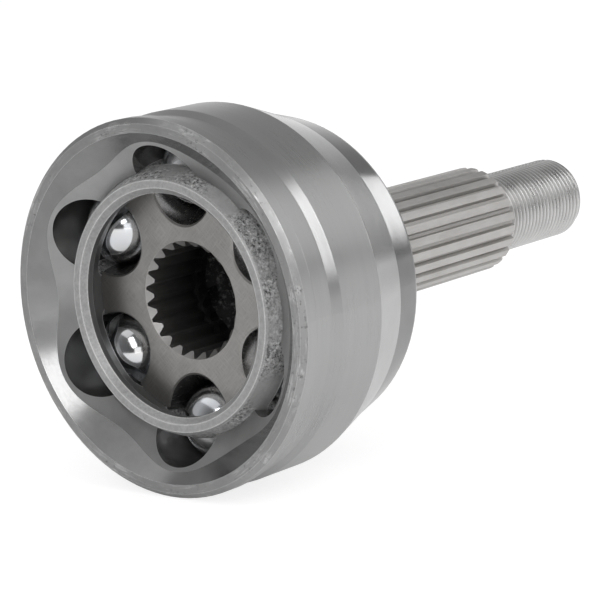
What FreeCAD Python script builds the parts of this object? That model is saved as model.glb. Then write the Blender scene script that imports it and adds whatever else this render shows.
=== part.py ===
"""Fixed-ball constant-velocity joint: a bell with a splined stub, a ball cage, a star and six balls.

Millimetres. The origin is the joint centre, where the shaft axes cross. The stub points along +Y,
the open mouth of the bell faces -Y, and the first ball stands straight up at +Z.
"""
import FreeCAD, Part
import math
import os

V = FreeCAD.Vector
CENTRE = V(0, 0, 0)
STUB_AXIS = V(0, 1, 0)
TILT_AXIS = V(1, 0, 0)

# Balls and tracks
ball_count = 6
ball_diameter = 17.46
pitch_radius = 28.75            # joint centre to ball centre with the joint straight
track_offset = 4.0              # each track centre from the joint centre, along the axis
outer_track_clearance = 0.12
inner_track_clearance = 0.16
track_sweep = 55.0              # either way from the middle of a track, in degrees
largest_tilt = 45.0             # articulation either way, in degrees

# Ball cage
cage_outer_radius = 32.0
cage_wall = 4.22
cage_front_length = 15.0
cage_rear_length = 15.0
cage_front_lip = 2.78           # how far the front bore stands in from the inside sphere
cage_bore_chamfer = 1.3         # at the front of the bore
cage_edge_chamfer = 0.2
sphere_clearance = 0.10         # between the cage and each sphere that it turns on
window_axial_play = 0.36
window_side_play = 0.30
window_corner_radius = 3.5

# Star, the inner race on the drive shaft
star_front_length = 7.3
star_rear_length = 13.0
star_track_chamfer = 0.35
bore_teeth = 22
bore_major_radius = 13.2
bore_minor_radius = 12.0
bore_chamfer = 0.15             # widening of the lead-in cones past the tooth roots
clip_groove_width = 2.0
clip_groove_depth = 0.8         # below the tooth roots
clip_groove_to_rear_face = 3.0

# Bell outside, lengths from the joint centre
bell_radius = 42.14
bell_mouth_length = 19.0
rim_chamfer = 1.2
boot_land_width = 5.2
boot_groove_depth = 0.9
boot_groove_width = 5.2
boot_flank_width = 2.6
boot_edge_round = 0.4
boot_corner_round = 0.6
bell_straight_end = 7.0
bell_taper_radius = 38.35
bell_taper_end = 18.9
taper_round = 1.5
shoulder_radius = 36.0
shoulder_end = 28.0
shoulder_round = 3.0

# Bell mouth: a cone, then a steeper land whose edge comes nearer to the rim over each track
mouth_radius = 38.93
mouth_cone_angle = 44.6         # both angles are from the axis
land_angle = 57.0
land_depth = 4.9                # from the rim to the land's edge between two tracks
land_track_depth = 2.26         # and over a track

# Stub, lengths from the joint centre
abutment_radius = 20.0
abutment_width = 3.0
abutment_face = 45.0            # the wheel bearing's inner ring seats here
abutment_edge_round = 0.5
collar_round = 2.5
neck_length = 6.0
neck_round = 1.0
stub_teeth = 24
stub_major_radius = 13.09
stub_minor_radius = 12.0
stub_space_width = 1.5          # between two teeth, at their tips
stub_flank_angle = 20.0         # of a tooth, from the middle of the space beside it
stub_edge_chamfer = 0.4         # at the end of the teeth and of the thread
spline_end = 99.0
relief_radius = 8.7
relief_width = 1.6
thread_radius = 10.0
stub_end = 133.1
centre_hole_radius = 3.0
centre_hole_depth = 5.0

bore_flank_angle = 37.5         # of a bore tooth, from the middle of the tooth
bore_root_width = 0.7           # flat at the bottom of a bore tooth space
tooth_overrun = 1.0             # of a tooth-space cutter past the tooth tips

# Worked out from the sizes above
ball_radius = ball_diameter / 2
track_radius = math.hypot(pitch_radius, track_offset)
bell_bore_radius = cage_outer_radius + sphere_clearance
cage_inner_radius = cage_outer_radius - cage_wall
cage_front_bore_radius = cage_inner_radius - cage_front_lip
star_radius = cage_inner_radius - sphere_clearance
cutter_reach = 2 * bell_radius
edge_steps = 10 * ball_count    # points that a wavy edge is drawn through


def turned(shape, degrees):
    """Copy of a shape turned about the stub axis, from +Z towards +X."""
    copy = shape.copy()
    copy.rotate(CENTRE, STUB_AXIS, degrees)
    return copy


def around(shape, count):
    """Copies of a shape spaced evenly about the stub axis."""
    return [turned(shape, 360.0 * index / count) for index in range(count)]


def rounded_corner(before, point, after, radius):
    """Start, middle and end of the arc that rounds one corner of an outline."""
    a = (before - point).normalize()
    b = (after - point).normalize()
    half = a.getAngle(b) / 2
    reach = radius / math.tan(half)
    middle = point + (a + b).normalize() * (radius / math.sin(half) - radius)
    return point + a * reach, middle, point + b * reach


def outline(corners):
    """Closed wire in the XY plane from (x, y, rounding) corners."""
    points = [V(x, y, 0) for x, y, rounding in corners]
    edges = []
    ends = []
    for index, point in enumerate(points):
        rounding = corners[index][2]
        after = points[(index + 1) % len(points)]
        start, middle, end = point, point, point
        if rounding:
            start, middle, end = rounded_corner(points[index - 1], point, after, rounding)
            edges.append(Part.Arc(start, middle, end).toShape())
        ends.append((start, end))
    for index, (start, end) in enumerate(ends):
        edges.append(Part.LineSegment(ends[index - 1][1], start).toShape())
    return Part.Wire(Part.__sortEdges__(edges))


def revolved(corners):
    """Solid of revolution about the stub axis, from (radius, length, rounding) corners."""
    return Part.Face(outline(corners)).revolve(CENTRE, STUB_AXIS, 360)


def cylinder(radius, start, end):
    """Cylinder on the stub axis between two lengths."""
    return Part.makeCylinder(radius, end - start, V(0, start, 0), STUB_AXIS)


def cone(start_radius, end_radius, start, end):
    """Cone frustum on the stub axis between two lengths."""
    return Part.makeCone(start_radius, end_radius, end - start, V(0, start, 0), STUB_AXIS)


def track_tools(offset, clearance):
    """Ball grooves, each a ball section swept on an arc about a point on the stub axis."""
    pivot = V(0, offset, 0)
    middle = pivot + V(0, 0, track_radius)
    section = Part.Face(Part.Wire(Part.makeCircle(ball_radius + clearance, middle, STUB_AXIS)))
    section.rotate(pivot, TILT_AXIS, -track_sweep)
    return around(section.revolve(pivot, TILT_AXIS, 2 * track_sweep), ball_count)


def edges_between(shape, first, second):
    """Edges where a face of one surface type meets a face of another."""
    found = []
    for edge in shape.Edges:
        surfaces = [face.Surface for face in shape.ancestorsOfType(edge, Part.Face)]
        if any(isinstance(s, first) for s in surfaces) and any(isinstance(s, second) for s in surfaces):
            found.append(edge)
    return found


def one_solid(shape):
    """The single solid that a cut leaves."""
    return shape.Solids[0]


def tooth_spaces(teeth, low, high, low_width, high_width, start, end):
    """Prisms that cut the spaces between spline teeth, all round the stub axis."""
    corners = [(-low_width / 2, low), (low_width / 2, low), (high_width / 2, high), (-high_width / 2, high)]
    points = [V(x, start, z) for x, z in corners]
    prism = Part.Face(Part.makePolygon(points + points[:1])).extrude(V(0, end - start, 0))
    return around(prism, teeth)


def stub_tooth_spaces():
    """Spaces of the stub's spline, open outwards."""
    slope = math.tan(math.radians(stub_flank_angle))
    high = stub_major_radius + tooth_overrun
    low_width = stub_space_width - 2 * slope * (stub_major_radius - stub_minor_radius)
    high_width = stub_space_width + 2 * slope * tooth_overrun
    start = abutment_face + neck_length / 2
    return tooth_spaces(stub_teeth, stub_minor_radius, high, low_width, high_width, start, spline_end)


def bore_tooth_spaces():
    """Spaces of the bore's spline, open inwards."""
    slope = math.tan(math.radians(bore_flank_angle))
    low = bore_minor_radius - tooth_overrun
    high = bore_major_radius
    low_width = bore_root_width + 2 * slope * (high - low)
    front = -star_front_length
    return tooth_spaces(bore_teeth, low, high, low_width, bore_root_width, front, star_rear_length)


def bell_body():
    """Outside of the bell and its stub, solid, as turned from one forging."""
    rim = -bell_mouth_length
    land_end = rim + boot_land_width
    groove_end = land_end + boot_groove_width
    groove_radius = bell_radius - boot_groove_depth
    neck_end = abutment_face + neck_length
    tooth_height = stub_major_radius - stub_minor_radius
    thread_start = spline_end + relief_width
    return revolved([
        (0, rim, 0),
        (bell_radius - rim_chamfer, rim, 0),
        (bell_radius, rim + rim_chamfer, 0),
        (bell_radius, land_end - boot_groove_depth, boot_edge_round),
        (groove_radius, land_end, boot_corner_round),
        (groove_radius, groove_end, boot_corner_round),
        (bell_radius, groove_end + boot_flank_width, boot_edge_round),
        (bell_radius, bell_straight_end, taper_round),
        (bell_taper_radius, bell_taper_end, taper_round),
        (shoulder_radius, shoulder_end, shoulder_round),
        (abutment_radius, abutment_face - abutment_width, collar_round),
        (abutment_radius, abutment_face, abutment_edge_round),
        (stub_minor_radius, abutment_face, neck_round),
        (stub_minor_radius, neck_end, 0),
        (stub_major_radius, neck_end + tooth_height, 0),
        (stub_major_radius, spline_end - stub_edge_chamfer, 0),
        (stub_major_radius - stub_edge_chamfer, spline_end, 0),
        (relief_radius, spline_end, 0),
        (relief_radius, thread_start, 0),
        (thread_radius, thread_start + thread_radius - relief_radius, 0),
        (thread_radius, stub_end - stub_edge_chamfer, 0),
        (thread_radius - stub_edge_chamfer, stub_end, 0),
        (0, stub_end, 0),
    ])


def ring_through(points):
    """Smooth closed wire through points that stand round the stub axis."""
    curve = Part.BSplineCurve()
    curve.interpolate(Points=points, PeriodicFlag=True)
    return Part.Wire(curve.toShape())


def bell_mouth_tool():
    """Mouth cone, narrowed by the land, which is a steeper cone with a wavy edge."""
    rim = -bell_mouth_length
    flare = math.tan(math.radians(mouth_cone_angle))
    steepness = math.tan(math.radians(land_angle))
    middle = (land_depth + land_track_depth) / 2
    swing = (land_depth - land_track_depth) / 2
    at_rim = []
    at_centre = []
    for step in range(edge_steps):
        angle = 2 * math.pi * step / edge_steps
        outwards = V(math.sin(angle), 0, math.cos(angle))
        depth = middle - swing * math.cos(ball_count * angle)
        edge_radius = mouth_radius - flare * depth
        at_rim.append(outwards * (edge_radius + steepness * depth) + V(0, rim, 0))
        at_centre.append(outwards * (edge_radius - steepness * (bell_mouth_length - depth)))
    land = Part.makeLoft([ring_through(at_rim), ring_through(at_centre)], True, True)
    mouth_cone = revolved([(0, rim, 0), (mouth_radius, rim, 0), (0, rim + mouth_radius / flare, 0)])
    return mouth_cone.common(land)


def outer_race():
    """Bell and stub in one piece, with a spherical bore, ball tracks, boot groove and spline."""
    bell = bell_body().cut([Part.makeSphere(bell_bore_radius), bell_mouth_tool()])
    bell = bell.cut(track_tools(-track_offset, outer_track_clearance))
    bell = one_solid(bell)
    hole_start = stub_end - centre_hole_depth
    centre_hole = cone(0, centre_hole_radius, hole_start, stub_end)
    return one_solid(bell.cut(stub_tooth_spaces() + [centre_hole]))


def window_tools():
    """Rounded windows cut straight out through the cage, one for each ball."""
    side_swing = math.atan(1 / math.cos(math.radians(largest_tilt / 2))) - math.radians(45)
    half_length = ball_radius + pitch_radius * math.sin(side_swing) + window_side_play
    half_height = ball_radius + window_axial_play
    rounding = window_corner_radius
    face = Part.Face(outline([
        (-half_length, -half_height, rounding),
        (half_length, -half_height, rounding),
        (half_length, half_height, rounding),
        (-half_length, half_height, rounding),
    ]))
    return around(face.extrude(V(0, 0, cutter_reach)), ball_count)


def cage():
    """Spherical ring that holds the balls in one plane."""
    front = -cage_front_length
    rear = cage_rear_length
    front_edge = math.sqrt(cage_outer_radius ** 2 - front ** 2) - cage_edge_chamfer
    rear_edge = math.sqrt(cage_outer_radius ** 2 - rear ** 2) - cage_edge_chamfer
    from_front = cone(front_edge, front_edge + cutter_reach, front, front + cutter_reach)
    from_rear = cone(rear_edge + cutter_reach, rear_edge, rear - cutter_reach, rear)
    ring = Part.makeSphere(cage_outer_radius).common(from_front.common(from_rear))
    bore = cylinder(cage_front_bore_radius, front, 0)
    lead_in_radius = cage_front_bore_radius + cage_bore_chamfer
    lead_in = cone(lead_in_radius, cage_front_bore_radius, front, front + cage_bore_chamfer)
    lead_out_radius = math.sqrt(cage_inner_radius ** 2 - rear ** 2) + cage_edge_chamfer
    lead_out = cone(lead_out_radius - rear, lead_out_radius, 0, rear)
    ring = ring.cut([Part.makeSphere(cage_inner_radius), bore, lead_in, lead_out])
    return one_solid(ring.cut(window_tools()))


def inner_race():
    """Star with ball tracks outside and a splined bore for the drive shaft."""
    front = -star_front_length
    rear = star_rear_length
    star = Part.makeSphere(star_radius).common(cylinder(cutter_reach, front, rear))
    star = one_solid(star.cut(track_tools(track_offset, inner_track_clearance)))
    star = star.makeChamfer(star_track_chamfer, edges_between(star, Part.Toroid, (Part.Plane, Part.Sphere)))
    lead = bore_major_radius + bore_chamfer
    lead_length = lead - bore_minor_radius
    groove_end = rear - clip_groove_to_rear_face
    groove_start = groove_end - clip_groove_width
    tools = bore_tooth_spaces()
    tools.append(cylinder(bore_minor_radius, front, rear))
    tools.append(cone(lead, bore_minor_radius, front, front + lead_length))
    tools.append(cone(bore_minor_radius, lead, rear - lead_length, rear))
    tools.append(cylinder(bore_major_radius + clip_groove_depth, groove_start, groove_end))
    return one_solid(star.cut(tools))


def balls():
    """Six balls, each in its own window and tracks."""
    return around(Part.makeSphere(ball_radius, V(0, 0, pitch_radius)), ball_count)


def main():
    os.makedirs("parts", exist_ok=True)
    nodes = {"outer_race": outer_race(), "cage": cage(), "inner_race": inner_race()}
    for index, ball in enumerate(balls(), 1):
        nodes["ball_%d" % index] = ball
    for name, shape in nodes.items():
        shape.exportStep("parts/%s.step" % name)
        print(name, shape.ShapeType, shape.isValid(), len(shape.Solids), round(shape.Volume), "mm3")


main()
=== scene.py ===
"""Looks of the ball-type constant velocity joint.

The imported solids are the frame: the stub axle points along +Y, the open mouth faces -Y, ball_1 is
at +Z, and the origin is the centre of the joint. Lengths are in metres.

The cage, the star and the balls keep their solids and get their finishes here. The bell is the
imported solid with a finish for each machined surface, and its threaded end is cut as a real screw
thread, which the solids leave plain.
"""

import math

import bmesh
import bpy
from mathutils import Matrix, Vector


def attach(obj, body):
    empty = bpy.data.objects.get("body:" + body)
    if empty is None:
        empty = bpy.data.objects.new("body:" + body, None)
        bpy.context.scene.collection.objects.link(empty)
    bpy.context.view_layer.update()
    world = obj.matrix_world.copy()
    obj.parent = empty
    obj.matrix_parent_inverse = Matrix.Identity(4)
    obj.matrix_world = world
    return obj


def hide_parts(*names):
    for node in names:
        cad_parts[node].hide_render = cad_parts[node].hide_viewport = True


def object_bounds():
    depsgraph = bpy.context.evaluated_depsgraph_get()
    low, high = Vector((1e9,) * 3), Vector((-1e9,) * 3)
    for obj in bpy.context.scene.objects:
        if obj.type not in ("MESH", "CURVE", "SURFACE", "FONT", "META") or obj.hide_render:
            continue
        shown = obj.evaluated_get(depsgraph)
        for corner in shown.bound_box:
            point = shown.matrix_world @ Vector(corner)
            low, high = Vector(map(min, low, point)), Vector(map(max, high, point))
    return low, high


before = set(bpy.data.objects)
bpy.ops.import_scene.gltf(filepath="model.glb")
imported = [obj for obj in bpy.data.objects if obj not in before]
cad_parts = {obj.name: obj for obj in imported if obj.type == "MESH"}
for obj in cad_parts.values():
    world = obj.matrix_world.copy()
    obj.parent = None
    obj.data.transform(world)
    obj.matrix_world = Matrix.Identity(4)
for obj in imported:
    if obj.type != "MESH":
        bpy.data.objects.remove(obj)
cad_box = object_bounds()

# Bell: where one machined surface ends and the next begins, from the mouth to the stub.
rim_face = -0.0189
rim_end = -0.0178
taper_start = 0.0072
shoulder_start = 0.0187
spline_start = 0.0505
stub_cut = 0.0990
cut_margin = 0.00002
bore_reach = 0.0322  # distance from the joint's centre
cavity_start = 0.0140
land_lean = 0.77  # a face of the mouth whose normal points further forward is land

# Ball tracks: a ring of the ball's size round each track's centre, which lies off the joint's.
track_count = 6
track_radius = 0.02903
bell_track_centre = -0.0040
star_track_centre = 0.0040
bell_groove_radius = 0.00885
star_groove_radius = 0.00889
groove_margin = 0.00005

# Places of the finishes that one solid shares. Each pair goes from where a finish sets in to where
# it is full: radii, places along the axle, and the distance from a ball track.
cage_front_depth = (-0.01360, -0.01368)
cage_front_radius = (0.02848, 0.02840)
cage_inside_radius = (0.0285, 0.0279)
star_lead_radius = (0.0134, 0.0133)
star_bore_radius = (0.0151, 0.0150)
star_bore_depth = (-0.0059, -0.0056)
star_bore_shade = (-0.0059, 0.008)
star_track_gap = (0.0001, 0.00004)
spline_space_radius = (0.0125, 0.0121)
thread_root_radius = (0.0099, 0.00908)

# Threaded end of the stub, with a centre hole.
relief_radius = 0.0087
relief_end = 0.1006
stub_end = 0.1331
thread_radius = 0.0100
thread_depth = 0.00092
thread_pitch = 0.0015
thread_root_end = 0.20  # places along one pitch
thread_crest_start = 0.46
thread_crest_end = 0.60
end_chamfer = 0.0004
centre_hole_radius = 0.0030
centre_hole_chamfer = 0.0003
centre_hole_depth = 0.0045
drill_radius = 0.0012
drill_tip_radius = 0.0001
drill_tip_length = 0.0006
thread_columns = 120
samples_per_pitch = 10
sharp_angle = math.radians(28.0)
merge_distance = 0.000001

# Finishes
corner_width = 0.0003
fine_corner_width = 0.0002
cage_corner_width = 0.0006
corner_samples = 6
corner_range = (0.99, 0.88)  # likeness of the rounded and the true normal, from ground to corner
ring_lean = 0.7  # the lathe's rings also follow the radius, so that they show on end faces
brushed_turn = 0.25  # a quarter turn, so that the sheen lies across the rings

# Photograph's view, in the photograph's own turn about the axle.
focal_length = 159.7
sensor_width = 36.0
clip_end = 20.0
eye = Vector((0.3785, -0.4313, 0.1450))
eye_right = Vector((0.77368, 0.63357, 0.0))
eye_up = Vector((-0.15664, 0.19128, 0.96896))
roll_about_axle = math.radians(5.3)

# Floor: its glow makes it white to the eye, and its paint keeps the joint's shadow. Metal shows
# the paint, and some of the glow on the pad, a round patch beside the bell.
floor_drop = 0.00004
floor_half = 3.0
floor_paint = 0.80
floor_glow = 1.33
floor_glow_share = 0.6
pad_glow_share = 0.28
pad_centre = (0.08, 0.14)
pad_radius = 0.14
pad_fade = 0.06

# Room: the light that it gives, and how bright metal shows it, from behind the eye to straight
# ahead of it.
plain_light = 0.65
room_levels = ((0.02, 0.08), (0.18, 0.14), (0.42, 0.36), (0.90, 0.38), (0.985, 0.95))

# Soft boxes: direction in the photograph's view, sides, brightness in a mirror, turn in degrees.
light_distance = 1.1
power_per_area = 4.0  # of a box that a mirror shows as white, with a brightness of 1
soft_boxes = {
    "right": ((0.765, 0.183, 0.615), (0.25, 0.96), 2.5, 0.0),
    "top_front": ((0.61, -0.17, 0.78), (0.40, 0.40), 2.0, 0.0),
    "back_right": ((0.42, 0.75, 0.50), (0.60, 0.60), 0.42, 0.0),
    "side_right": ((0.66, 0.75, 0.06), (0.40, 0.30), 0.45, 0.0),
    "back_strip": ((0.11, 0.966, 0.212), (0.48, 0.11), 2.4, 43.0),
    "front_strip": ((0.45, -0.70, 0.55), (0.28, 0.62), 2.7, 23.0),
    "front_right": ((0.76, -0.64, 0.10), (0.40, 0.50), 0.7, 0.0),
    "left": ((-0.25, -0.40, 0.88), (1.20, 0.60), 0.35, 0.0),
}


def grey(value, warmth=0.0):
    return (value * (1 + warmth), value, value * (1 - warmth), 1.0)


class Nodes:
    """A node tree, with a short call for each kind of node."""

    def __init__(self, tree):
        self.tree = tree

    def add(self, kind, inputs=None, **settings):
        made = self.tree.nodes.new("ShaderNode" + kind)
        for key, value in settings.items():
            setattr(made, key, value)
        for key, value in (inputs or {}).items():
            if isinstance(value, bpy.types.NodeSocket):
                self.tree.links.new(value, made.inputs[key])
            else:
                made.inputs[key].default_value = value
        return made

    def math(self, operation, *values):
        return self.add("Math", dict(enumerate(values)), operation=operation).outputs[0]

    def measure(self, operation, first, second):
        """Number that a vector operation gives, such as a distance."""
        inputs = {0: first, 1: second}
        return self.add("VectorMath", inputs, operation=operation).outputs["Value"]

    def spread(self, value, low, high, start, end):
        """Turn low..high of a value into start..end, and hold it there outside."""
        inputs = {"Value": value, "From Min": low, "From Max": high}
        inputs.update({"To Min": start, "To Max": end})
        return self.add("MapRange", inputs).outputs["Result"]

    def mask(self, value, start, full):
        """0 where a value is at the start, rising or falling to 1 where it is full."""
        return self.spread(value, start, full, 0.0, 1.0)

    def mix(self, factor, first, second):
        inputs = {0: factor, 6: first, 7: second}
        return self.add("Mix", inputs, data_type="RGBA").outputs[2]


class Finish(Nodes):
    """A metal, with the patterns that the finishes share."""

    def __init__(self, name, metallic, anisotropic=0.0):
        self.material = bpy.data.materials.new(name)
        self.material.use_nodes = True
        super().__init__(self.material.node_tree)
        self.shader = self.tree.nodes["Principled BSDF"]
        self.shader.inputs["Metallic"].default_value = metallic
        self.shader.inputs["Anisotropic"].default_value = anisotropic
        self.place = self.add("TexCoord").outputs["Object"]
        parts = self.add("SeparateXYZ", {"Vector": self.place}).outputs
        self.x, self.y, self.z = parts["X"], parts["Y"], parts["Z"]
        self.radius = self.hypotenuse(self.x, self.z)

    def hypotenuse(self, first, second):
        squares = self.math(
            "ADD", self.math("MULTIPLY", first, first), self.math("MULTIPLY", second, second)
        )
        return self.math("SQRT", squares)

    def times(self, value, factor):
        return self.math("MULTIPLY", value, factor)

    def blend(self, first, second, share):
        """Two patterns in one, with the second one's share."""
        return self.math("ADD", self.times(first, 1.0 - share), self.times(second, share))

    def noise(self, scale, detail, roughness=0.5, vector=None):
        """Soft random pattern, on the piece itself if no other place is given."""
        inputs = {"Scale": scale, "Detail": detail, "Roughness": roughness}
        inputs["Vector"] = self.place if vector is None else vector
        return self.add("TexNoise", inputs).outputs["Fac"]

    def streaks(self, *places, detail=3.0, roughness=0.5):
        """Noise drawn out into lines: three places, each with its number of waves per metre."""
        axes = [self.times(place, waves) for place, waves in places]
        drawn = self.add("CombineXYZ", dict(zip("XYZ", axes))).outputs["Vector"]
        return self.noise(1.0, detail, roughness, drawn)

    def turned_lines(self, lines_per_metre, arc_per_metre):
        """Fine rings left by a lathe tool, which run round the axle and fade in and out."""
        meridian = self.math("SUBTRACT", self.y, self.times(self.radius, ring_lean))
        return self.streaks(
            (self.x, arc_per_metre),
            (meridian, lines_per_metre),
            (self.z, arc_per_metre),
            roughness=0.6,
        )

    def track_gap(self, centre, groove_radius):
        """Distance out from the wall of the nearest ball track, which is 0 on the wall itself."""
        turn = self.math("ARCTAN2", self.x, self.z)
        half_pitch = math.pi / track_count
        off_track = self.math("WRAP", turn, half_pitch, -half_pitch)
        up = self.math("MULTIPLY", self.radius, self.math("COSINE", off_track))
        aside = self.math("MULTIPLY", self.radius, self.math("SINE", off_track))
        swing = self.hypotenuse(up, self.math("SUBTRACT", self.y, centre))
        off_path = self.math("SUBTRACT", swing, track_radius)
        return self.math("SUBTRACT", self.hypotenuse(off_path, aside), groove_radius)

    def tones(self, pattern, dark, light, low=0.35, high=0.65):
        """Colour that goes from one tone to the other as a pattern goes from low to high."""
        return self.mix(self.mask(pattern, low, high), dark, light)

    def dullness(self, pattern, smooth, dull, low=0.3, high=0.7):
        """Roughness that goes from one end to the other as a pattern goes from low to high."""
        return self.spread(pattern, low, high, smooth, dull)

    def corners(self, width):
        """0 on open ground, rising to 1 on a corner, where handling has rubbed the metal bright and
        where a painted edge highlight goes.
        """
        rounded = self.add("Bevel", {"Radius": width}, samples=corner_samples).outputs["Normal"]
        ground = self.add("NewGeometry").outputs["Normal"]
        return self.mask(self.measure("DOT_PRODUCT", rounded, ground), *corner_range)

    # Corners painted brighter: partly wear from handling, partly a painted edge highlight.
    def wear_and_edge_highlight(self, colour, width, share, bright):
        return self.mix(self.times(self.corners(width), share), colour, bright)

    def bump(self, height, distance):
        inputs = {"Height": height, "Strength": 1.0, "Distance": distance}
        return self.add("Bump", inputs).outputs["Normal"]

    def brush_round_axle(self):
        tangent = self.add("Tangent", direction_type="RADIAL", axis="Y").outputs["Tangent"]
        self.tree.links.new(tangent, self.shader.inputs["Tangent"])
        self.shader.inputs["Anisotropic Rotation"].default_value = brushed_turn

    def give(self, **sockets):
        for name, socket in sockets.items():
            self.tree.links.new(socket, self.shader.inputs[name.replace("_", " ")])
        return self.material


def turned_steel():
    """Outside of the bell: satin steel from the lathe, with a soft sheen across its rings."""
    look = Finish("bell_turned_steel", metallic=1.0, anisotropic=0.35)
    look.brush_round_axle()
    fine = look.turned_lines(lines_per_metre=4200.0, arc_per_metre=60.0)
    broad = look.turned_lines(lines_per_metre=450.0, arc_per_metre=20.0)
    cloud = look.noise(scale=55.0, detail=4.0)
    rings = look.math("ADD", look.times(fine, 0.25), look.times(broad, 0.3))
    tone = look.math("ADD", rings, look.times(cloud, 0.45))
    colour = look.tones(tone, grey(0.40), grey(0.45), low=0.34, high=0.66)
    # Corners: wear and a painted edge highlight.
    colour = look.wear_and_edge_highlight(colour, corner_width, 0.7, grey(0.72))
    patches = look.spread(cloud, 0.35, 0.65, -0.02, 0.03)
    rough = look.math("ADD", look.dullness(fine, 0.27, 0.33), patches)
    return look.give(Base_Color=colour, Roughness=rough, Normal=look.bump(fine, 0.000002))


def cone_steel(name, dark, light):
    """A cone behind the barrel: turned smoother than it."""
    look = Finish(name, metallic=1.0)
    fine = look.turned_lines(lines_per_metre=3000.0, arc_per_metre=60.0)
    cloud = look.noise(scale=70.0, detail=4.0)
    colour = look.tones(cloud, grey(dark), grey(light))
    # Corners: wear and a painted edge highlight.
    colour = look.wear_and_edge_highlight(colour, corner_width, 0.6, grey(0.72))
    rough = look.dullness(fine, 0.12, 0.17)
    return look.give(Base_Color=colour, Roughness=rough, Normal=look.bump(fine, 0.000002))


def rim_steel():
    """Rim face and its chamfer: faced bright, then scuffed all round in handling."""
    look = Finish("bell_rim_steel", metallic=1.0)
    scratches = look.turned_lines(lines_per_metre=3600.0, arc_per_metre=260.0)
    bright_lines = look.mask(scratches, 0.54, 0.66)
    scuffs = look.mask(look.noise(scale=900.0, detail=4.0, roughness=0.7), 0.56, 0.66)
    cloud = look.noise(scale=60.0, detail=4.0)
    patchy = look.spread(cloud, 0.45, 0.60, 0.15, 1.0)
    colour = look.tones(cloud, grey(0.33), grey(0.40))
    colour = look.mix(look.times(bright_lines, look.times(patchy, 0.65)), colour, grey(0.78))
    colour = look.mix(look.times(scuffs, look.times(patchy, 0.7)), colour, grey(0.10))
    # Corners: wear and a painted edge highlight.
    colour = look.wear_and_edge_highlight(colour, corner_width, 0.8, grey(0.80))
    rough = look.dullness(scratches, 0.38, 0.26)
    return look.give(Base_Color=colour, Roughness=rough, Normal=look.bump(scratches, 0.000006))


def mouth_steel():
    """Cone inside the mouth: smooth, clouded from the hardening, darker than the outside."""
    look = Finish("bell_mouth_steel", metallic=1.0)
    cloud = look.noise(scale=80.0, detail=5.0, roughness=0.6)
    grain = look.noise(scale=1500.0, detail=2.0)
    colour = look.tones(cloud, grey(0.28), grey(0.36))
    # Corners: wear and a painted edge highlight.
    colour = look.wear_and_edge_highlight(colour, corner_width, 0.6, grey(0.70))
    patches = look.spread(cloud, 0.35, 0.65, 0.0, 0.05)
    rough = look.math("ADD", look.dullness(grain, 0.16, 0.20), patches)
    return look.give(Base_Color=colour, Roughness=rough, Normal=look.bump(grain, 0.000002))


def land_steel():
    """Land between the tracks: milled after the cone, lighter and duller than it."""
    look = Finish("bell_land_steel", metallic=1.0)
    cloud = look.noise(scale=120.0, detail=4.0)
    grain = look.noise(scale=2000.0, detail=2.0)
    colour = look.tones(cloud, grey(0.38), grey(0.45))
    # Corners: wear and a painted edge highlight.
    colour = look.wear_and_edge_highlight(colour, corner_width, 0.7, grey(0.74))
    rough = look.dullness(grain, 0.38, 0.46)
    return look.give(Base_Color=colour, Roughness=rough, Normal=look.bump(grain, 0.000003))


def track_steel():
    """Ball tracks and front of the bore: ground, then darkened, partly by heat and an oil film and
    partly as painted shade.
    """
    look = Finish("bell_track_steel", metallic=0.9)
    cloud = look.noise(scale=90.0, detail=4.0)
    film = look.noise(scale=500.0, detail=3.0)
    # A darker tone than the outside: partly heat tint and oil, partly painted shade in the pockets.
    colour = look.tones(cloud, grey(0.32, 0.01), grey(0.44, 0.015))
    rough = look.dullness(film, 0.20, 0.26)
    return look.give(Base_Color=colour, Roughness=rough, Normal=look.bump(film, 0.000001))


def cavity_steel():
    """Closed end of the bore: left as forged and pitted, and painted dark as shade."""
    look = Finish("bell_cavity_steel", metallic=1.0)
    pits = look.noise(scale=900.0, detail=5.0, roughness=0.75)
    # Painted shade: the deep end is painted dark, with lighter pits.
    colour = look.tones(pits, grey(0.10), grey(0.60), low=0.52, high=0.68)
    rough = look.dullness(pits, 0.60, 0.75)
    return look.give(Base_Color=colour, Roughness=rough, Normal=look.bump(pits, 0.00002))


def spline_steel():
    """Hub spline and neck: hobbed teeth, faintly warm, with painted shade down in the tooth spaces.
    """
    look = Finish("bell_spline_steel", metallic=1.0)
    cloud = look.noise(scale=140.0, detail=4.0)
    strokes = look.streaks((look.x, 2600.0), (look.y, 260.0), (look.z, 2600.0))
    space_shade = look.mask(look.radius, *spline_space_radius)
    tone = look.blend(strokes, cloud, 0.5)
    colour = look.tones(tone, grey(0.50, 0.03), grey(0.58, 0.02), low=0.38, high=0.62)
    # Painted shade down in the tooth spaces.
    colour = look.mix(look.times(space_shade, 0.5), colour, grey(0.30, 0.04))
    # Corners: wear and a painted edge highlight.
    colour = look.wear_and_edge_highlight(colour, fine_corner_width, 0.4, grey(0.62, 0.01))
    rough = look.dullness(strokes, 0.40, 0.50)
    return look.give(Base_Color=colour, Roughness=rough, Normal=look.bump(strokes, 0.000006))


def thread_steel():
    """Rolled thread: crests in the steel's own tone, roots darkened by painted shade."""
    look = Finish("stub_thread_steel", metallic=1.0)
    cloud = look.noise(scale=200.0, detail=4.0)
    root_shade = look.mask(look.radius, *thread_root_radius)
    colour = look.tones(cloud, grey(0.63, 0.005), grey(0.71, 0.005))
    # Painted shade in the roots of the thread.
    colour = look.mix(look.times(root_shade, 0.6), colour, grey(0.30, 0.02))
    rough = look.dullness(cloud, 0.26, 0.34)
    return look.give(Base_Color=colour, Roughness=rough)


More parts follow.
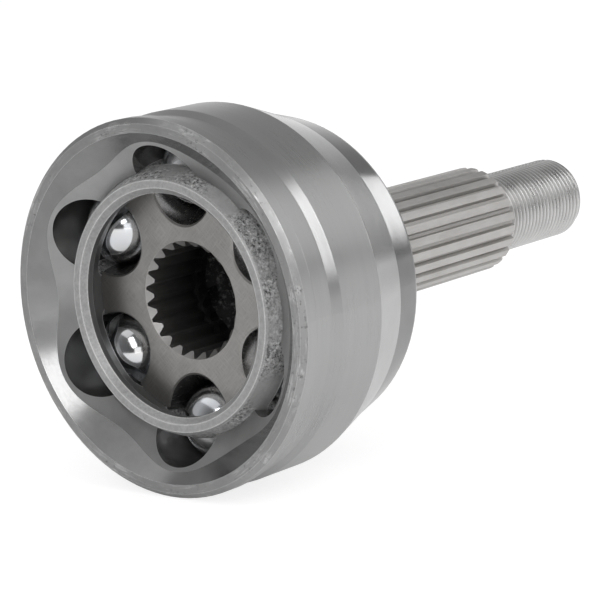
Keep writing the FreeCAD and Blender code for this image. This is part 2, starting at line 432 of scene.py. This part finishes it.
def cage_steel():
    """Cage: speckled from hardening, a ground ring in front, painted shade inside, corners rubbed
    bright and given a painted edge highlight.
    """
    look = Finish("cage_hardened_steel", metallic=0.35)
    cloud = look.noise(scale=130.0, detail=5.0, roughness=0.6)
    pits = look.noise(scale=1300.0, detail=5.0, roughness=0.8)
    patchy = look.spread(look.noise(scale=75.0, detail=3.0), 0.42, 0.58, 0.1, 1.0)
    bright_speckle = look.times(look.mask(pits, 0.54, 0.60), patchy)
    dark_speckle = look.times(look.mask(pits, 0.48, 0.42), patchy)
    forward = look.mask(look.y, *cage_front_depth)
    ring = look.times(forward, look.mask(look.radius, *cage_front_radius))
    inside = look.mask(look.radius, *cage_inside_radius)
    ground = look.tones(pits, grey(0.33), grey(0.43), low=0.42, high=0.60)
    colour = look.tones(cloud, grey(0.42), grey(0.58))
    colour = look.mix(look.times(bright_speckle, 0.9), colour, grey(0.95))
    colour = look.mix(look.times(dark_speckle, 0.9), colour, grey(0.03))
    # Painted shade: the inside of the cage is painted dark, where shade falls between the cage and
    # the star.
    colour = look.mix(inside, colour, grey(0.13))
    colour = look.mix(ring, colour, ground)
    # Corners painted white: partly wear, partly a painted edge highlight.
    colour = look.mix(look.corners(cage_corner_width), colour, grey(1.0))
    smoother = look.times(look.math("MAXIMUM", inside, ring), -0.16)
    rough = look.math("ADD", look.dullness(pits, 0.46, 0.62), smoother)
    return look.give(Base_Color=colour, Roughness=rough, Normal=look.bump(pits, 0.00001))


def star_steel():
    """Inner race: matte, faintly warm, cross-hatched in front, with painted shade in its tracks and
    down its bore.
    """
    look = Finish("star_matte_steel", metallic=1.0)
    up = look.math("ADD", look.x, look.z)
    down = look.math("SUBTRACT", look.x, look.z)
    rising = look.streaks((up, 2400.0), (down, 200.0), (look.y, 1.0))
    falling = look.streaks((up, 200.0), (down, 2400.0), (look.y, 1.0))
    hatch = look.math("MAXIMUM", rising, falling)
    cloud = look.noise(scale=120.0, detail=4.0)
    behind = look.mask(look.y, *star_bore_depth)
    before = look.math("SUBTRACT", 1.0, behind)
    lead = look.times(before, look.mask(look.radius, *star_lead_radius))
    bore = look.times(behind, look.mask(look.radius, *star_bore_radius))
    groove = look.mask(look.track_gap(star_track_centre, star_groove_radius), *star_track_gap)
    tone = look.blend(hatch, cloud, 0.4)
    colour = look.tones(tone, grey(0.35, 0.03), grey(0.46, 0.025), low=0.42, high=0.66)
    colour = look.mix(lead, colour, grey(0.44, 0.02))
    # Painted shade: the ball tracks get a flat darker tone.
    colour = look.mix(groove, colour, grey(0.36, 0.03))
    # Corners: wear and a painted edge highlight.
    colour = look.wear_and_edge_highlight(colour, fine_corner_width, 0.6, grey(0.70, 0.01))
    # Painted shade down the bore, darkening from the front to the deep end.
    bore_shade = look.mix(look.mask(look.y, *star_bore_shade), grey(0.45, 0.02), grey(0.10))
    colour = look.mix(bore, colour, bore_shade)
    smoother = look.times(groove, -0.20)
    rough = look.math("ADD", look.dullness(hatch, 0.48, 0.40, low=0.4), smoother)
    return look.give(Base_Color=colour, Roughness=rough, Normal=look.bump(hatch, 0.000005))


def ball_steel():
    """Bearing balls: mirror chrome under a thin uneven film of oil."""
    look = Finish("ball_mirror_chrome", metallic=1.0)
    film = look.noise(scale=180.0, detail=3.0)
    colour = look.tones(film, grey(0.88), (0.86, 0.89, 0.94, 1.0))
    rough = look.dullness(film, 0.11, 0.16, low=0.4, high=0.65)
    return look.give(Base_Color=colour, Roughness=rough)


def in_track(point):
    """Whether a point of the bell lies on the wall of a ball track."""
    pitch = math.tau / track_count
    turn = math.atan2(point.x, point.z)
    off_track = turn - pitch * round(turn / pitch)
    radius = math.hypot(point.x, point.z)
    swing = math.hypot(radius * math.cos(off_track), point.y - bell_track_centre)
    off_wall = math.hypot(swing - track_radius, radius * math.sin(off_track)) - bell_groove_radius
    return off_wall < groove_margin


def surface_of(face):
    """Name the machined surface of the bell that a face belongs to."""
    centre = face.calc_center_median()
    if centre.y > spline_start:
        return "spline"
    inside = "cavity" if centre.y > cavity_start else "track"
    if all(in_track(vertex.co) for vertex in face.verts):
        return inside
    if centre.y < rim_face or (centre.y < rim_end and face.normal.dot(centre) > 0):
        return "rim"
    if centre.length < bore_reach:
        return inside
    if face.normal.x * centre.x + face.normal.z * centre.z < 0:
        return "land" if face.normal.y < -land_lean else "mouth"
    if centre.y > shoulder_start:
        return "shoulder"
    return "taper" if centre.y > taper_start else "turned"


def make_bell():
    """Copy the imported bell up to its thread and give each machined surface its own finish."""
    finishes = {
        "turned": turned_steel(),
        "taper": cone_steel("bell_taper_steel", dark=0.44, light=0.51),
        "shoulder": cone_steel("bell_shoulder_steel", dark=0.22, light=0.27),
        "rim": rim_steel(),
        "mouth": mouth_steel(),
        "land": land_steel(),
        "track": track_steel(),
        "cavity": cavity_steel(),
        "spline": spline_steel(),
    }
    names = list(finishes)
    last = stub_cut + cut_margin
    shape = bmesh.new()
    shape.from_mesh(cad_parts["outer_race"].data)
    beyond = [face for face in shape.faces if face.calc_center_median().y > last]
    bmesh.ops.delete(shape, geom=beyond, context="FACES")
    for face in shape.faces:
        face.material_index = names.index(surface_of(face))
    mesh = bpy.data.meshes.new("bell")
    shape.to_mesh(mesh)
    shape.free()
    for finish in finishes.values():
        mesh.materials.append(finish)
    piece = bpy.data.objects.new("bell", mesh)
    bpy.context.collection.objects.link(piece)
    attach(piece, "outer_race")
    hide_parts("outer_race")


def thread_height(place):
    """Height of the thread above its root, at a place from 0 to 1 along one pitch."""
    if place < thread_root_end:
        return 0.0
    if place < thread_crest_start:
        return thread_depth * (place - thread_root_end) / (thread_crest_start - thread_root_end)
    if place < thread_crest_end:
        return thread_depth
    return thread_depth * (1.0 - place) / (1.0 - thread_crest_end)


def thread_rows():
    """Rows of points that follow the helix, flattened where they would pass either end."""
    turns = math.ceil((stub_end - relief_end) / thread_pitch) + 2
    root = thread_radius - thread_depth
    rows = []
    for step in range(turns * samples_per_pitch + 1):
        row = []
        for column in range(thread_columns):
            part_turn = column / thread_columns
            travel = step / samples_per_pitch - 1.0 + part_turn
            y = min(max(relief_end + travel * thread_pitch, relief_end), stub_end)
            place = ((y - relief_end) / thread_pitch - part_turn) % 1.0
            lead_in = relief_radius + y - relief_end
            lead_out = thread_radius - end_chamfer + stub_end - y
            row.append((min(root + thread_height(place), lead_in, lead_out), y, part_turn))
        rows.append(row)
    return rows


def ring(radius, y):
    return [(radius, y, column / thread_columns) for column in range(thread_columns)]


def turned_point(radius, y, part_turn):
    angle = math.tau * part_turn
    return (radius * math.sin(angle), y, radius * math.cos(angle))


def make_stub_end():
    """Relief groove, screw thread, end face and centre hole as one closed skin."""
    hole_end = stub_end - centre_hole_depth
    rows = [
        ring(relief_radius, stub_cut),
        *thread_rows(),
        ring(centre_hole_radius + centre_hole_chamfer, stub_end),
        ring(centre_hole_radius, stub_end - centre_hole_chamfer),
        ring(drill_radius, hole_end),
        ring(drill_tip_radius, hole_end - drill_tip_length),
    ]
    shape = bmesh.new()
    grid = [[shape.verts.new(turned_point(*point)) for point in row] for row in rows]
    for low, high in zip(grid, grid[1:]):
        for column in range(thread_columns):
            after = (column + 1) % thread_columns
            shape.faces.new((low[column], high[column], high[after], low[after]))
    shape.faces.new(grid[-1])
    bmesh.ops.dissolve_degenerate(shape, dist=merge_distance, edges=shape.edges)
    bmesh.ops.recalc_face_normals(shape, faces=shape.faces)
    mesh = bpy.data.meshes.new("stub_end")
    shape.to_mesh(mesh)
    shape.free()
    mesh.shade_smooth()
    mesh.set_sharp_from_angle(angle=sharp_angle)
    mesh.materials.append(thread_steel())
    piece = bpy.data.objects.new("stub_end", mesh)
    bpy.context.collection.objects.link(piece)
    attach(piece, "outer_race")


def dress_nodes():
    """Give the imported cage, star and balls their finishes."""
    chrome = ball_steel()
    finishes = {"cage": cage_steel(), "inner_race": star_steel()}
    for name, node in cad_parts.items():
        if name != "outer_race":
            node.data.materials[0] = finishes.get(name, chrome)


def make_floor():
    """Plain pale floor just under the joint."""
    level = cad_box[0].z - floor_drop
    material = bpy.data.materials.new("floor_white")
    material.use_nodes = True
    material.node_tree.nodes.clear()
    nodes = Nodes(material.node_tree)
    place = nodes.add("TexCoord").outputs["Object"]
    away = nodes.measure("DISTANCE", place, (*pad_centre, level))
    pad = nodes.spread(away, pad_radius, pad_radius + pad_fade, 1.0, 0.0)
    path = nodes.add("LightPath").outputs
    mirrored = nodes.math("MAXIMUM", path["Is Glossy Ray"], path["Is Transmission Ray"])
    shown = nodes.math("MULTIPLY", nodes.math("MULTIPLY", mirrored, pad), pad_glow_share)
    seen = nodes.math("MULTIPLY", path["Is Camera Ray"], floor_glow_share)
    share = nodes.math("MAXIMUM", seen, shown)
    paint = nodes.add("BsdfDiffuse", {"Color": grey(floor_paint)}).outputs["BSDF"]
    glow = nodes.add("Emission", {"Strength": floor_glow}).outputs["Emission"]
    blend = nodes.add("MixShader", {0: share, 1: paint, 2: glow}).outputs["Shader"]
    nodes.add("OutputMaterial", {"Surface": blend})
    mesh = bpy.data.meshes.new("floor")
    corners = [(-1, -1), (1, -1), (1, 1), (-1, 1)]
    points = [(x * floor_half, y * floor_half, level) for x, y in corners]
    mesh.from_pydata(points, [], [(0, 1, 2, 3)])
    mesh.materials.append(material)
    floor = bpy.data.objects.new("floor", mesh)
    bpy.context.collection.objects.link(floor)


def view_turn():
    """Turn about the axle from the photograph's place to the solids' place."""
    return Matrix.Rotation(roll_about_axle, 4, "Y")


def make_world():
    """White to the eye. Metal shows a room, white behind the joint and dark behind the eye."""
    world = bpy.data.worlds.new("studio")
    bpy.context.scene.world = world
    world.use_nodes = True
    world.node_tree.nodes.clear()
    nodes = Nodes(world.node_tree)
    ahead = view_turn() @ eye_up.cross(eye_right)
    direction = nodes.add("TexCoord").outputs["Generated"]
    facing = nodes.measure("DOT_PRODUCT", direction, ahead)
    room = nodes.spread(facing, -1.0, 1.0, 0.0, 1.0)
    ramp = nodes.add("ValToRGB", {"Fac": room})
    stops = ramp.color_ramp.elements
    for place, level in room_levels:
        stops.new(place).color = grey(level)
    stops.remove(stops[0])
    stops.remove(stops[-1])
    path = nodes.add("LightPath").outputs
    seen = nodes.mix(path["Is Camera Ray"], ramp.outputs["Color"], grey(1.0))
    shown = nodes.math("MAXIMUM", path["Is Camera Ray"], path["Is Glossy Ray"])
    shown = nodes.math("MAXIMUM", shown, path["Is Transmission Ray"])
    plain = nodes.add("Background", {"Color": grey(1.0), "Strength": plain_light})
    white = nodes.add("Background", {"Color": seen, "Strength": 1.0})
    shaders = {0: shown, 1: plain.outputs["Background"], 2: white.outputs["Background"]}
    nodes.add("OutputWorld", {"Surface": nodes.add("MixShader", shaders).outputs["Shader"]})


def make_camera():
    data = bpy.data.cameras.new("camera")
    data.lens = focal_length
    data.sensor_width = sensor_width
    data.clip_end = clip_end
    camera = bpy.data.objects.new("camera", data)
    stand = Matrix((eye_right, eye_up, eye_right.cross(eye_up))).transposed().to_4x4()
    stand.translation = eye
    camera.matrix_world = view_turn() @ stand
    bpy.context.collection.objects.link(camera)
    bpy.context.scene.camera = camera


def make_soft_box(name, direction, sides, brightness, turn):
    """Soft box that faces the joint from a direction given in the photograph's view."""
    data = bpy.data.lights.new(name, "AREA")
    data.shape = "RECTANGLE"
    data.size, data.size_y = sides
    data.energy = power_per_area * brightness * data.size * data.size_y
    light = bpy.data.objects.new(name, data)
    spot = view_turn() @ (Vector(direction).normalized() * light_distance)
    stand = spot.to_track_quat("Z", "Y").to_matrix().to_4x4()
    turned = Matrix.Rotation(math.radians(turn), 4, "Z")
    light.matrix_world = Matrix.Translation(spot) @ stand @ turned
    bpy.context.collection.objects.link(light)


make_bell()
make_stub_end()
dress_nodes()
make_floor()
make_world()
make_camera()
for name, box in soft_boxes.items():
    make_soft_box(name, *box)

bpy.context.scene.view_settings.view_transform = "Standard"
